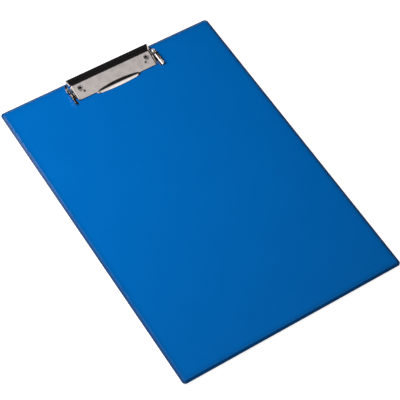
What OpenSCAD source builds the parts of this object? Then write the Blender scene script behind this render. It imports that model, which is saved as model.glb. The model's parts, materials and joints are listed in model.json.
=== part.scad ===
// A4 clipboard: a card board between two welded films, with a low lever clip.
// X runs across the board, +Y points to the clip's end, +Z out of the front.
// The origin is the middle of the back face.

/* [Board] */
// Width of the board over its welded seam
board_w = 228; // [200:1:260]
// Height of the board over its welded seam
board_h = 322; // [290:1:360]
// Thickness of the board, films included
board_t = 3.0; // [2.6:0.1:4.0]
// Radius of the board's outer corners
corner_r = 3.5; // [3:0.5:10]
// Width of the flat seam around the raised pad
seam_w = 2.2; // [1.5:0.1:3]
// Thickness of both welded films together, at the seam
seam_t = 0.8; // [0.6:0.1:1.2]
// Thickness of one cover film
film_t = 0.35; // [0.2:0.05:0.5]

/* [Clip base] */
// Width of the clip over its two ears
clip_w = 98; // [94:1:110]
// Thickness of the base sheet
base_t = 0.8; // [0.6:0.1:0.9]
// Height of the ears above the board
ear_h = 5.8; // [5.2:0.1:7]
// How far the ears reach in front of the hinge
ear_front = 16.2; // [15:0.1:20]
// How far the ears reach behind the hinge
ear_rear = 5.4; // [4.5:0.1:6]
// How far the feet beside the lever reach behind the hinge
foot_rear = 8.8; // [7.5:0.1:9]
// How much each foot narrows behind its ear
foot_taper = 2.2; // [1:0.1:2.4]
// How far the floor reaches in front of the hinge
floor_front = 9.5; // [8.5:0.1:11]
// How far the floor reaches behind the hinge
floor_rear = 3.2; // [2.6:0.1:3.4]

/* [Hinge] */
// Distance from the board's top edge to the hinge axis
hinge_inset = 11.5; // [11:0.1:16]
// Height of the hinge axis above the board
hinge_rise = 2.4; // [2.3:0.1:2.8]
// Diameter of the hinge pin
pin_d = 1.6; // [1.2:0.1:1.7]
// Diameter of the pin's peened heads
pin_head_d = 3.2; // [2.4:0.1:4]
// Height of the pin's peened heads
pin_head_h = 0.7; // [0.4:0.1:1]

/* [Lever] */
// Gap between each ear and the lever's side wall
side_gap = 4.2; // [3:0.1:6]
// Thickness of the lever's sheet
lever_t = 0.6; // [0.5:0.05:0.7]
// Distance from the hinge axis to the front of the jaw
jaw_reach = 13.1; // [12:0.1:14]
// Height of the jaw's bend above the board
jaw_h = 1.3; // [1.1:0.1:1.6]
// Width of the paper lip at its root, in the middle of the jaw
lip_w = 48; // [30:1:60]
// How far the middle of the lip stands out in front of the jaw
lip_reach = 3.8; // [2.5:0.1:4.5]
// How much the lip's front edge bows forward in the middle
lip_bow = 1.2; // [0.5:0.1:1.5]
// How much the lip rises to its front edge
lip_rise = 0.5; // [0.3:0.1:0.8]
// Width that the thumb flange gains at each end
flange_flare = 1.6; // [0:0.1:2]
// Distance from the hinge axis to the valley before the thumb flange
valley_reach = 4.2; // [4:0.1:5]
// Height of the valley above the board
valley_h = 3.1; // [2.9:0.1:3.4]
// Distance from the hinge axis to the rear edge of the flange
flange_reach = 9.9; // [8.5:0.1:10.2]
// Height of the flange's rear edge above the board
flange_h = 5.7; // [5.2:0.1:6.5]
// Diameter of the rivet access holes
access_d = 3.8; // [3.7:0.1:5]
// Diameter of the pilot holes
pilot_d = 2.0; // [1.5:0.1:2.6]
// How far the pilot holes lie inside the access holes
pilot_in = 2.7; // [2:0.1:6]
// How far the pilot holes lie in front of the access holes
pilot_lead = 3.8; // [3.6:0.1:5]

/* [Thumb grip] */
// Wall of the grip strip
grip_t = 0.5; // [0.4:0.05:0.6]
// Width of bare flange at each end of the grip
grip_margin = 1.3; // [0.5:0.1:4]
// How far the grip wraps under the flange
grip_lap = 2.4; // [1.5:0.1:3.5]
// Height of the rib along the grip
rib_h = 0.3; // [0.2:0.05:0.4]

/* [Springs] */
// Wire diameter of the torsion springs
wire_d = 0.8; // [0.6:0.05:0.8]
// Turns of each spring
spring_turns = 14; // [8:1:16]
// Distance from the middle to the near end of each coil
spring_inset = 14; // [8:1:17]

/* [Rivets] */
// Distance from the lever's side to each rivet
rivet_inset = 7.7; // [6:0.1:10]
// How far the rivets stand in front of the hinge axis
rivet_lead = 2.9; // [2.8:0.1:4]
// Diameter of the rivet shank
rivet_d = 3.6; // [3:0.1:4]
// Bore of the hollow shank
rivet_bore_d = 2.4; // [1.6:0.1:2.6]
// Diameter of the head in the back
head_d = 8; // [6.5:0.1:9]
// Thickness of the head
head_t = 0.45; // [0.3:0.05:0.6]
// Diameter of the rolled collar on the base
collar_d = 5.2; // [4.8:0.1:5.4]
// Height of the rolled collar
collar_h = 0.6; // [0.4:0.05:0.7]

/* [Clearances] */
// Gap round the rivet heads in their dishes
dish_gap = 0.2; // [0.1:0.05:0.4]
// Gap round the rivets and round the core
fit_gap = 0.05; // [0.02:0.01:0.1]
// Radial running gap of the pin in its bores
run_gap = 0.05; // [0.02:0.01:0.08]
// Gap between parts that move past each other
move_gap = 0.3; // [0.2:0.05:0.4]

/* [Hidden] */
$fn = 64;

eps = 0.01;
sides = [-1, 1];

// Board
pad_w = board_w - 2 * seam_w;
pad_h = board_h - 2 * seam_w;
pad_r = max(corner_r - seam_w, 1);
mid_z = board_t / 2;
core_w = pad_w - 2 * (film_t + fit_gap);
core_h = pad_h - 2 * (film_t + fit_gap);
core_t = board_t - 2 * film_t;
core_r = max(pad_r - film_t, 0.6);

// The lever fits between the ears
lever_w = clip_w - 2 * (base_t + side_gap);

// Hinge axis, and the rivets in front of it
pin_y = board_h / 2 - hinge_inset;
pin_z = board_t + hinge_rise;
bore_d = pin_d + 2 * run_gap;
rivet_x = lever_w / 2 - rivet_inset;
rivet_y = pin_y - rivet_lead;
rivet_hole_d = rivet_d + 2 * fit_gap;
dish_d = head_d + 2 * dish_gap;
dish_h = head_t + fit_gap;

// Springs: each coil runs round the pin, with both legs behind it
coil_r = pin_d / 2 + 2 * run_gap + wire_d / 2;
coil_out_r = coil_r + wire_d / 2;
coil_len = spring_turns * wire_d;

// The lever's mid-surface, as points (behind the hinge axis, above the board)
half_t = lever_t / 2;
crest_h = hinge_rise + coil_out_r + move_gap / 2 + lever_t;
crest_w = 1.4;
jaw_y = -jaw_reach + half_t;
jaw_tip = [jaw_y, move_gap];
jaw_bend = [jaw_y, jaw_h - half_t];
crest = [0, crest_h - half_t];
crest_end = [crest_w, crest_h - half_t];
valley = [valley_reach, valley_h - half_t];
flange_end = [flange_reach, flange_h - half_t];
lip_root = [jaw_y, move_gap + half_t];
lip_tip = lip_root + [-lip_reach, lip_rise];
lip_front = jaw_y - lip_reach;
lip_chamfer = 3;
lip_front_w = lip_w - 2 * lip_chamfer;
lip_r = (lip_front_w * lip_front_w / 4 + lip_bow * lip_bow) / (2 * lip_bow);

// The lever's side walls, with a boss round the pin
boss_r = bore_d / 2 + 2 * lever_t;
wall_low = base_t + move_gap;
wall_step = 1;
wall_front = jaw_y + wall_step;

// Spring legs: one pressed up under the valley, one on the base's floor
valley_press = 0.05 * wire_d;
valley_lead = 0.6 * wire_d;
upper_tip = [valley_reach - valley_lead, valley_h - lever_t - wire_d / 2 + valley_press];
lower_tip = [floor_rear - move_gap, base_t + fit_gap + wire_d / 2];

// Thumb grip, laid along the flange from the valley to its rear edge
flange_run = flange_end - valley;
flange_len = norm(flange_run);
flange_tilt = atan2(flange_run[1], flange_run[0]);
past_flange = 2;
grip_in = half_t + fit_gap;
grip_out = grip_in + grip_t;
grip_start = 0.4;
grip_end = flange_len + fit_gap + grip_t;

// Base: slots for the side walls, and a boss round the pin in each ear, clear of the board
slot_room = 0.5;
slot_in = lever_w / 2 - lever_t - slot_room;
slot_out = lever_w / 2 + 3 * move_gap;
boss_lift = base_t / 8;
ear_boss_r = hinge_rise - boss_lift;
ear_nose_r = 1.5;
ear_slope = 4;
foot_cut = 0.8;

// Where a line from p touches the circle of radius r about c, turned to one side
function tangent(p, c, r, side) =
    let (d = p - c, a = atan2(d[1], d[0]) + side * acos(r / norm(d))) c + r * [cos(a), sin(a)];

// Height of the sloping plate's mid-surface at a distance behind the axis
function plate_h(y) = jaw_bend[1] + (crest[1] - jaw_bend[1]) * (y - jaw_bend[0]) / (crest[0] - jaw_bend[0]);

axis_point = [0, hinge_rise];

// A flat plate with four round corners, centred on the Z axis
module rounded_plate(w, h, t, r) {
    translate([-w / 2 + r, -h / 2, 0]) cube([w - 2 * r, h, t]);
    translate([-w / 2, -h / 2 + r, 0]) cube([w, h - 2 * r, t]);
    for (sx = sides, sy = sides)
        translate([sx * (w / 2 - r), sy * (h / 2 - r), 0]) cylinder(r = r, h = t);
}

// One upright cylinder at each rivet
module at_rivets(d, z, h) {
    for (s = sides) translate([s * rivet_x, rivet_y, z]) cylinder(d = d, h = h);
}

// Extrudes an outline of (behind the axis, above the board) points across X
module across(w) {
    translate([0, pin_y, board_t]) rotate([90, 0, 90]) linear_extrude(w, center = true) children();
}

// Extrudes a plan of (across, behind the axis) points up from the board
module upright(h) {
    translate([0, pin_y, board_t]) linear_extrude(h) children();
}

// One straight stretch of sheet between two points
module sheet_run(a, b, t) {
    d = b - a;
    translate(a) rotate(atan2(d[1], d[0])) translate([0, -t / 2]) square([norm(d), t]);
}

// A bent sheet: straight runs, with a round bend at every inner point
module bent_sheet(points, t) {
    for (i = [0 : len(points) - 2]) sheet_run(points[i], points[i + 1], t);
    for (i = [1 : len(points) - 2]) translate(points[i]) circle(d = t);
}

module board_core() {
    color("tan") difference() {
        translate([0, 0, film_t]) rounded_plate(core_w, core_h, core_t, core_r);
        at_rivets(rivet_hole_d, -eps, board_t);
        at_rivets(dish_d + 2 * film_t + 2 * fit_gap, -eps, dish_h + film_t + 2 * eps);
    }
}

// One film: half of the welded seam, with the pad's skin standing on it
module cover_film() {
    difference() {
        union() {
            rounded_plate(board_w, board_h, seam_t / 2, corner_r);
            rounded_plate(pad_w, pad_h, mid_z, pad_r);
        }
        translate([0, 0, -eps])
            rounded_plate(pad_w - 2 * film_t, pad_h - 2 * film_t, core_t / 2 + eps, core_r);
    }
}

module front_cover() {
    color("royalblue") difference() {
        translate([0, 0, mid_z]) cover_film();
        at_rivets(rivet_hole_d, mid_z, board_t);
    }
}

// The back film is dished at each rivet, so that the heads lie flush in it
module back_cover() {
    color("royalblue") difference() {
        union() {
            translate([0, 0, mid_z]) mirror([0, 0, 1]) cover_film();
            at_rivets(dish_d + 2 * film_t, 0, dish_h + film_t);
        }
        at_rivets(dish_d, -eps, dish_h + eps);
        at_rivets(rivet_hole_d, -eps, board_t);
    }
}

// Outline of an ear: tall in front, falling over the pin to the floor behind
module ear_outline() {
    brow = [-ear_slope, ear_h];
    heel = [ear_rear, base_t];
    difference() {
        union() {
            translate([-ear_front, 0]) square([ear_front - ear_slope, ear_h - ear_nose_r]);
            translate([-ear_front + ear_nose_r, 0])
                square([ear_front - ear_nose_r - ear_slope, ear_h]);
            translate([-ear_front + ear_nose_r, ear_h - ear_nose_r]) circle(r = ear_nose_r);
            translate(axis_point) circle(r = ear_boss_r);
            polygon([[-ear_slope, 0], brow, tangent(brow, axis_point, ear_boss_r, -1),
                     axis_point, tangent(heel, axis_point, ear_boss_r, 1), heel, [heel[0], 0]]);
        }
        translate(axis_point) circle(d = bore_d);
    }
}

// A foot of the floor beside each slot: as long as the ear, then narrowing behind it
module foot(w) {
    polygon([[0, -ear_front], [w, -ear_front], [w, ear_rear], [w - foot_taper, foot_rear - foot_cut],
             [w - foot_taper - foot_cut, foot_rear], [0, foot_rear]]);
}

module clip_base() {
    half = clip_w / 2;
    window = [coil_len + 2 * move_gap, 2 * (coil_out_r + move_gap)];
    color("silver") difference() {
        union() {
            upright(base_t) translate([-half, -floor_front])
                square([clip_w, floor_front + floor_rear]);
            for (s = sides) {
                upright(base_t) mirror([s < 0 ? 1 : 0, 0]) translate([slot_out, 0])
                    foot(half - slot_out);
                translate([s * (half - base_t / 2), 0, 0]) across(base_t) ear_outline();
            }
        }
        at_rivets(rivet_hole_d, board_t - eps, base_t + 2 * eps);
        translate([0, 0, -eps]) upright(base_t + 2 * eps) for (s = sides) {
            // Slot under the lever's side wall, open behind
            mirror([s < 0 ? 1 : 0, 0]) translate([slot_in, -boss_r - move_gap])
                square([slot_out - slot_in, boss_r + move_gap + floor_rear + eps]);
            // Window under the coil
            translate([s * (spring_inset + coil_len / 2), 0]) square(window, center = true);
        }
    }
}

// Plan of the lever, drawn in from its sides by a margin, flared at the thumb flange
module lever_plan(margin) {
    half = lever_w / 2 - margin;
    right = [[half, -jaw_reach], [half, valley_reach],
             [half + flange_flare, flange_reach],
             [half + flange_flare, flange_reach + past_flange]];
    polygon(concat(right, [for (i = [3 : -1 : 0]) [-right[i][0], right[i][1]]]));
}

// Plan of the paper lip: slanted ends and a bowed front edge
module lip_plan() {
    intersection() {
        polygon([[-lip_w / 2, jaw_y + half_t], [-lip_w / 2, jaw_y], [-lip_front_w / 2, lip_front],
                 [lip_front_w / 2, lip_front], [lip_w / 2, jaw_y], [lip_w / 2, jaw_y + half_t]]);
        translate([0, lip_front + lip_r]) circle(r = lip_r, $fn = 360);
    }
}

// Side wall of the lever, from the jaw to the valley
module wall_outline() {
    polygon([[wall_front, wall_low], [wall_front, plate_h(wall_front)], crest, crest_end, valley,
             tangent(valley, axis_point, boss_r, -1), axis_point, [0, wall_low]]);
    translate(axis_point) circle(r = boss_r);
}

module clip_lever() {
    pilot_x = rivet_x - pilot_in;
    pilot_y = rivet_y - pilot_lead;
    color("silver") difference() {
        union() {
            intersection() {
                across(lever_w + 2 * flange_flare)
                    bent_sheet([jaw_tip, jaw_bend, crest, crest_end, valley, flange_end], lever_t);
                upright(crest_h + flange_h) lever_plan(0);
            }
            intersection() {
                across(lip_w) sheet_run(lip_tip, lip_root, lever_t);
                upright(crest_h) lip_plan();
            }
            for (s = sides)
                translate([s * (lever_w / 2 - half_t), 0, 0]) across(lever_t) wall_outline();
        }
        across(lever_w + 2 * eps) translate(axis_point) circle(d = bore_d);
        at_rivets(access_d, board_t + base_t, crest_h);
        for (s = sides)
            translate([s * pilot_x, pilot_y, board_t + base_t]) cylinder(d = pilot_d, h = crest_h);
    }
}

// A channel pushed on the flange's edge, with a rib along its top
module grip_outline() {
    translate(valley) rotate(flange_tilt) {
        translate([grip_start, grip_in]) square([grip_end - grip_start, grip_t]);
        translate([grip_end - grip_t, -grip_out]) square([grip_t, 2 * grip_out]);
        translate([grip_end - grip_lap, -grip_out]) square([grip_lap, grip_t]);
        translate([flange_len / 2, grip_out]) circle(r = rib_h);
    }
}

module thumb_grip() {
    color("black") intersection() {
        across(lever_w + 2 * flange_flare) grip_outline();
        upright(crest_h + flange_h) lever_plan(grip_margin);
    }
}

// Section of a peened head: a low dome on its base
module head_section() {
    a = pin_head_d / 2;
    r = (a * a + pin_head_h * pin_head_h) / (2 * pin_head_h);
    intersection() {
        translate([0, pin_head_h - r]) circle(r = r);
        square([a, pin_head_h]);
    }
}

module hinge_pin() {
    color("silver") translate([0, pin_y, pin_z]) {
        rotate([0, 90, 0]) cylinder(d = pin_d, h = clip_w + eps, center = true);
        for (s = sides)
            rotate([0, s * 90, 0]) translate([0, 0, clip_w / 2]) rotate_extrude() head_section();
    }
}

// A straight piece of wire between two points (behind the axis, above the axis)
module leg(from, to, x) {
    d = to - from;
    translate([x, from[0], from[1]]) rotate([-90 + atan2(d[1], d[0]), 0, 0])
        cylinder(d = wire_d - 2 * fit_gap, h = norm(d));
}

// A close-wound coil along X, from x = 0, with one leg from each end turn
module torsion_spring() {
    translate([0, pin_y, board_t]) {
        translate([0, 0, hinge_rise]) rotate([0, 90, 0]) rotate_extrude() {
            for (i = [0 : spring_turns - 1])
                translate([coil_r, (i + 0.5) * wire_d]) circle(d = wire_d);
            translate([coil_r - wire_d / 4, wire_d / 2])
                square([wire_d / 2, coil_len - wire_d]);
        }
        leg(tangent(upper_tip, axis_point, coil_r, 1), upper_tip, wire_d / 2);
        leg(tangent(lower_tip, axis_point, coil_r, -1), lower_tip, coil_len - wire_d / 2);
    }
}

module spring_left() {
    color("gray") mirror([1, 0, 0]) translate([spring_inset, 0, 0]) torsion_spring();
}

module spring_right() {
    color("gray") translate([spring_inset, 0, 0]) torsion_spring();
}

// Section of the collar: a ring of sheet rolled outwards over the base
module collar_section() {
    in = rivet_bore_d / 2;
    out = collar_d / 2;
    r = collar_h / 2;
    translate([in, 0]) square([out - in, collar_h - r]);
    translate([in + r, 0]) square([out - in - 2 * r, collar_h]);
    for (x = [in + r, out - r]) translate([x, collar_h - r]) circle(r = r);
}

// A rivet set from the back: flat head, hollow shank, collar rolled on the base
module rivet() {
    translate([0, 0, dish_h - head_t]) cylinder(d = head_d, h = head_t);
    difference() {
        translate([0, 0, dish_h]) cylinder(d = rivet_d, h = board_t + base_t - dish_h + eps);
        translate([0, 0, mid_z]) cylinder(d = rivet_bore_d, h = board_t);
    }
    translate([0, 0, board_t + base_t]) rotate_extrude() collar_section();
}

module rivet_left() {
    color("silver") translate([-rivet_x, rivet_y, 0]) rivet();
}

module rivet_right() {
    color("silver") translate([rivet_x, rivet_y, 0]) rivet();
}

board_core();
front_cover();
back_cover();
clip_base();
clip_lever();
thumb_grip();
hinge_pin();
spring_left();
spring_right();
rivet_left();
rivet_right();
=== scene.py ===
# %% [markdown]
# # A flat A4 clipboard with a low lever clip
#
# The object is a card board between two welded blue PVC films, with a chrome clip riveted near
# its top edge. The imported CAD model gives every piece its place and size, so this lesson only
# makes the looks. Each piece is modelled in millimetres and scaled to metres when it is done,
# because Blender's mesh operators weld or skip details smaller than a fraction of a millimetre
# when they work in metres.

import json
import math

import bmesh
import bpy
from mathutils import Matrix, Vector


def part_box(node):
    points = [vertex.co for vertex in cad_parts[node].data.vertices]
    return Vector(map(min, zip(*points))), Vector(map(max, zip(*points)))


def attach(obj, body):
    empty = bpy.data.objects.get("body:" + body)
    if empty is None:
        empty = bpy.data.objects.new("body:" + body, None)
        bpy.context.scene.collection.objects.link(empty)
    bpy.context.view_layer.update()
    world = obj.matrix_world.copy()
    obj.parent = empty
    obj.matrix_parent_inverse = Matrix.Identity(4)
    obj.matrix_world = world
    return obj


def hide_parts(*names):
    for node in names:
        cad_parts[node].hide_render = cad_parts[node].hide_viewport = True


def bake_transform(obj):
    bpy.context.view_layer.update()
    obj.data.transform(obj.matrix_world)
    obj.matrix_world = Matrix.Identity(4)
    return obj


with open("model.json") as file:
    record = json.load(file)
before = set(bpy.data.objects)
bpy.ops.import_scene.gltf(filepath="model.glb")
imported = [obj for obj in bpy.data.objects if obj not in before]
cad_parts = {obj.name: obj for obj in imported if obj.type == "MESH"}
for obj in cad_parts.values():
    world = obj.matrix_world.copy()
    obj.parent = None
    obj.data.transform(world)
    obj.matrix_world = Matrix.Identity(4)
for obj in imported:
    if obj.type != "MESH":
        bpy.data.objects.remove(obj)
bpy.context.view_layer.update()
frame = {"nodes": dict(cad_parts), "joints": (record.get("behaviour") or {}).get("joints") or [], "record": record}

# %% [markdown]
# ## Sizes that the pieces share
#
# Most sizes come from the frame: the board from its front cover, the hinge axis from the joint,
# the clip from its base. What the frame can't tell, such as a sheet's thickness, is named here.

# %% Shared sizes
MM = 0.001


def box_mm(node):
    low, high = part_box(node)
    return low / MM, high / MM


board_low, board_high = box_mm("front_cover")
BOARD_W = board_high.x - board_low.x
BOARD_H = board_high.y - board_low.y
BOARD_T = board_high.z
MID_Z = BOARD_T / 2
axis_place = frame["joints"][0]["pos_m"]
PIN_Y = axis_place[1] / MM
PIN_Z = axis_place[2] / MM
RISE = PIN_Z - BOARD_T
core_low, core_high = box_mm("board_core")
base_low, base_high = box_mm("clip_base")
rivet_low, rivet_high = box_mm("rivet_right")
RIVET_X = (rivet_low.x + rivet_high.x) / 2
RIVET_Y = (rivet_low.y + rivet_high.y) / 2
print(f"board {BOARD_W:.1f} x {BOARD_H:.1f} x {BOARD_T:.1f}, hinge at y {PIN_Y:.1f} z {PIN_Z:.1f},"
      f" rivets at x {RIVET_X:.1f} y {RIVET_Y:.1f}")

# %% [markdown]
# ## Camera
#
# A long lens far away keeps the board's edges nearly parallel. The camera is placed by the angle
# it looks from, so that each number means something: azimuth, elevation, a slight roll, and the
# distance to the point on the board that sits in the middle of the view.

# %% Camera
AZIMUTH = math.radians(-37.08)
ELEVATION = math.radians(57.49)
ROLL = math.radians(5.44)
DISTANCE = 1.3281
LOOK_AT = Vector((-0.0044, -0.0138, BOARD_T * MM))
LENS = 132.4
FARTHEST_SEEN = 50


def from_angles(azimuth, elevation):
    """The unit vector from the board towards a place at these angles."""
    level = math.cos(elevation)
    return Vector((math.sin(azimuth) * level, -math.cos(azimuth) * level, math.sin(elevation)))


toward = from_angles(AZIMUTH, ELEVATION)
camera_data = bpy.data.cameras.new("camera")
camera_data.lens = LENS
camera_data.clip_end = FARTHEST_SEEN
camera = bpy.data.objects.new("camera", camera_data)
bpy.context.scene.collection.objects.link(camera)
camera.rotation_mode = "QUATERNION"
camera.location = LOOK_AT + toward * DISTANCE
upright = (-toward).to_track_quat("-Z", "Y").to_matrix()
camera.rotation_quaternion = (Matrix.Rotation(ROLL, 3, toward) @ upright).to_quaternion()
bpy.context.scene.camera = camera
print("camera at", [round(v, 3) for v in camera.location])

# %% [markdown]
# ## Shader maths as Python
#
# A material is a graph of nodes. To keep the graphs readable, one small class wraps a socket, so
# that `1 - mask * 0.5` adds the Math nodes it needs. Its `node` method adds any other node.

# %% The Socket class
class Socket:
    """A node's output that can be used in a Python expression."""

    def __init__(self, tree, link=None):
        self.tree = tree
        self.link = link

    def node(self, kind, settings=(), inputs=(), output=0):
        """Adds a node, with its settings first, and returns one of its outputs."""
        made = self.tree.nodes.new("ShaderNode" + kind)
        for name, value in dict(settings).items():
            setattr(made, name, value)
        for name, value in dict(inputs).items():
            if isinstance(value, Socket):
                self.tree.links.new(value.link, made.inputs[name])
            else:
                made.inputs[name].default_value = value
        return Socket(self.tree, made.outputs[output])

    def math(self, operation, first, second):
        return self.node("Math", {"operation": operation}, {0: first, 1: second})

    def __add__(self, other):
        return self.math("ADD", self, other)

    def __sub__(self, other):
        return self.math("SUBTRACT", self, other)

    def __rsub__(self, other):
        return self.math("SUBTRACT", other, self)

    def __mul__(self, other):
        return self.math("MULTIPLY", self, other)

    __radd__ = __add__
    __rmul__ = __mul__


print("Socket knows + - and *")

# %% [markdown]
# ## Finishes
#
# Every finish is a Principled shader whose colour, roughness and bump come from noise in object
# space, so the grain has a real size in millimetres and stays put when the clip opens.

# %% Helpers for finishes
def new_finish(name, constants):
    """A material with one Principled shader, its constant inputs, and a Socket to build with."""
    material = bpy.data.materials.new(name)
    material.use_nodes = True
    tree = material.node_tree
    shader = tree.nodes["Principled BSDF"]
    for socket, value in constants.items():
        shader.inputs[socket].default_value = value
    return material, shader, Socket(tree)


def feed(shader, values):
    """Links each socket of the graph to the shader's input of that name."""
    for name, value in values.items():
        value.tree.links.new(value.link, shader.inputs[name])


def object_place(graph):
    """Where a point lies on its own object, in metres."""
    return graph.node("TexCoord", output=3)


def noise(place, size_mm, detail=2):
    """Cloudy noise with blobs about this many millimetres across."""
    return place.node("TexNoise", inputs={"Vector": place, "Scale": 1 / (size_mm * MM),
                                          "Detail": detail})


def stretched(place, scale):
    """The same place, with the pattern on it drawn out along the axes of a small scale."""
    return place.node("Mapping", inputs={"Vector": place, "Scale": scale})


def mixed(factor, first, second):
    """A blend of two colours; the second may be a socket."""
    second = second if isinstance(second, Socket) else (*second, 1)
    colours = {0: factor, 6: (*first, 1), 7: second}
    return factor.node("Mix", {"data_type": "RGBA"}, colours, output=2)


def bumped(height, depth_mm):
    """A normal for a surface whose relief is this many millimetres deep."""
    return height.node("Bump", inputs={"Height": height, "Distance": depth_mm * MM})


# %% [markdown]
# ### Blue PVC film
#
# The film is a soft plastic sheet with a fine leather grain and a low gloss. The card below it
# shows through as very shallow ripples. A Voronoi pattern makes the pebbles of the grain, and
# two sizes of noise make the ripples and a slight cloudiness of the pigment. Along the outline
# the blue is painted darker towards the welded edge. This is painted shade for the slope and the
# rim round the board. That needs the distance from the edge, which takes a few nodes for a
# rectangle with round corners.

# %% Distance from the board's edge
CORNER_R = 3.5


def from_edge(place):
    """How far a point of the board lies inside its outline, in metres."""
    middle = ((BOARD_W / 2 - CORNER_R) * MM, (BOARD_H / 2 - CORNER_R) * MM, 1)
    spread = place.node("VectorMath", {"operation": "ABSOLUTE"}, {0: place})
    beyond = place.node("VectorMath", {"operation": "SUBTRACT"}, {0: spread, 1: middle})
    positive = place.node("VectorMath", {"operation": "MAXIMUM"}, {0: beyond, 1: (0, 0, 0)})
    round_part = place.node("VectorMath", {"operation": "LENGTH"}, {0: positive}, output=1)
    across, along = [place.node("SeparateXYZ", inputs={0: beyond}, output=i) for i in (0, 1)]
    flat_part = place.math("MINIMUM", place.math("MAXIMUM", across, along), 0)
    return CORNER_R * MM - round_part - flat_part


# %% Blue PVC
PLASTIC_IOR = 1.45
DEEP_BLUE = (0.0, 0.140, 0.500)
PALE_BLUE = (0.0, 0.152, 0.535)
BLACK = (0, 0, 0)
# painted shade round the rim: how dark the blue gets at the edge, and how far in it fades back
RIM_SHADE_TONE = 0.38
MID_SHADE_TONE = 0.84
RIM_SHADE_REACH = (0.9, 3.2)
SHADE_FADE_REACH = (3, 7)
PIGMENT_CLOUD = 45
CARD_RIPPLE = 12
GRAIN_PEBBLE = 0.45
GRAIN_DUST = 0.12
GRAIN_SHARE = 0.1
DUST_SHARE = 0.04
FILM_RELIEF = 0.05


def risen(inside, reach, low, high, kind="LINEAR"):
    """A value that goes from low to high over a reach in millimetres from the edge."""
    limits = {"Value": inside, "From Min": reach[0] * MM, "From Max": reach[1] * MM,
              "To Min": low, "To Max": high}
    return inside.node("MapRange", {"interpolation_type": kind}, limits)


def make_blue_pvc():
    material, shader, graph = new_finish(
        "blue_pvc", {"IOR": PLASTIC_IOR, "Specular IOR Level": 0.3})
    place = object_place(graph)
    cloud = noise(place, PIGMENT_CLOUD)
    pebbles = graph.node("TexVoronoi", inputs={"Vector": place, "Scale": 1 / (GRAIN_PEBBLE * MM)})
    dust = noise(place, GRAIN_DUST)
    ripple = noise(place, CARD_RIPPLE, detail=1)
    inside = from_edge(place)
    # painted shade: the blue darkens towards the board's welded edge
    painted_rim_shade = (risen(inside, RIM_SHADE_REACH, RIM_SHADE_TONE, MID_SHADE_TONE, "SMOOTHSTEP")
            + risen(inside, SHADE_FADE_REACH, 0, 1 - MID_SHADE_TONE))
    feed(shader, {
        "Base Color": mixed(painted_rim_shade, BLACK, mixed(cloud, DEEP_BLUE, PALE_BLUE)),
        "Roughness": 0.18 + dust * 0.06 + cloud * 0.04,
        "Normal": bumped(pebbles * GRAIN_SHARE + dust * DUST_SHARE + ripple, FILM_RELIEF),
    })
    return material


# %% [markdown]
# ### Chrome
#
# The clip is pressed from steel and plated. Plating keeps a mirror's colour but follows the
# sheet below: a faint rolling texture along the clip, small waves from the press, and a little
# haze where hands touch it. All three are relief or roughness, and the colour hardly changes.

# %% Chrome
BRIGHT_PLATE = (0.72, 0.65, 0.625)
HAZY_PLATE = (0.64, 0.59, 0.57)
ROLLED_STRETCH = (0.08, 1.0, 1.0)
ROLLED_LINE = 0.25
ROLLED_SHARE = 0.02
PRESS_WAVE = 9
HANDLING_HAZE = 5
PLATE_RELIEF = 0.06


def make_chrome():
    material, shader, graph = new_finish("chrome", {"Metallic": 1.0})
    place = object_place(graph)
    rolled = noise(stretched(place, ROLLED_STRETCH), ROLLED_LINE)
    wave = noise(place, PRESS_WAVE, detail=1)
    haze = noise(place, HANDLING_HAZE, detail=3)
    feed(shader, {
        "Base Color": mixed(haze, BRIGHT_PLATE, HAZY_PLATE),
        "Roughness": 0.10 + haze * 0.10 + rolled * 0.04,
        "Normal": bumped(rolled * ROLLED_SHARE + wave, PLATE_RELIEF),
    })
    return material


# %% [markdown]
# ### Black vinyl
#
# The strip on the thumb flange is soft black vinyl. It is nearly black in colour, so its shape
# reads from a broad, weak highlight, which a medium roughness and a fine grain give.

# %% Black vinyl
# The strip's colours are darker than black vinyl's own. This is partly its black and partly painted shade, which
# keeps the strip a near-black band.
VINYL_DARK = (0.005, 0.004, 0.004)
VINYL_WORN = (0.008, 0.007, 0.007)
VINYL_CLOUD = 8
VINYL_GRAIN = 0.2
VINYL_RELIEF = 0.012


def make_black_vinyl():
    material, shader, graph = new_finish(
        "black_vinyl", {"IOR": PLASTIC_IOR, "Specular IOR Level": 0.2})
    place = object_place(graph)
    cloud = noise(place, VINYL_CLOUD)
    grain = noise(place, VINYL_GRAIN)
    feed(shader, {
        "Base Color": mixed(cloud, VINYL_DARK, VINYL_WORN),
        "Roughness": 0.30 + grain * 0.12,
        "Normal": bumped(grain, VINYL_RELIEF),
    })
    return material


# %% [markdown]
# ### Steels
#
# The pin, the springs and the rivets are three more metals. They share one recipe: a colour, a
# roughness that varies with small noise, and fine relief.

# %% Pin, spring and rivet steel
STEEL_PATCH = 3


def make_steel(name, light, dark, roughness, grain_mm, depth_mm):
    material, shader, graph = new_finish(name, {"Metallic": 1.0})
    place = object_place(graph)
    grain = noise(place, grain_mm, detail=3)
    patch = noise(place, STEEL_PATCH)
    feed(shader, {
        "Base Color": mixed(patch, light, dark),
        "Roughness": roughness + grain * 0.14,
        "Normal": bumped(grain, depth_mm),
    })
    return material


# %% [markdown]
# ### Greyboard
#
# The stiffener is pressed waste paper: a warm grey with pale and dark fibres. Noise stretched in
# two directions gives the fibres, and a matt surface does the rest.

# %% Greyboard
BOARD_DARK = (0.17, 0.15, 0.12)
BOARD_PALE = (0.36, 0.32, 0.26)
FIBRE_ALONG_X = (0.1, 1.0, 1.0)
FIBRE_ALONG_Y = (1.0, 0.1, 1.0)
FINE_FIBRE = 0.3
COARSE_FIBRE = 0.4
BOARD_FLECK = 1.5
BOARD_RELIEF = 0.03


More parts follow.
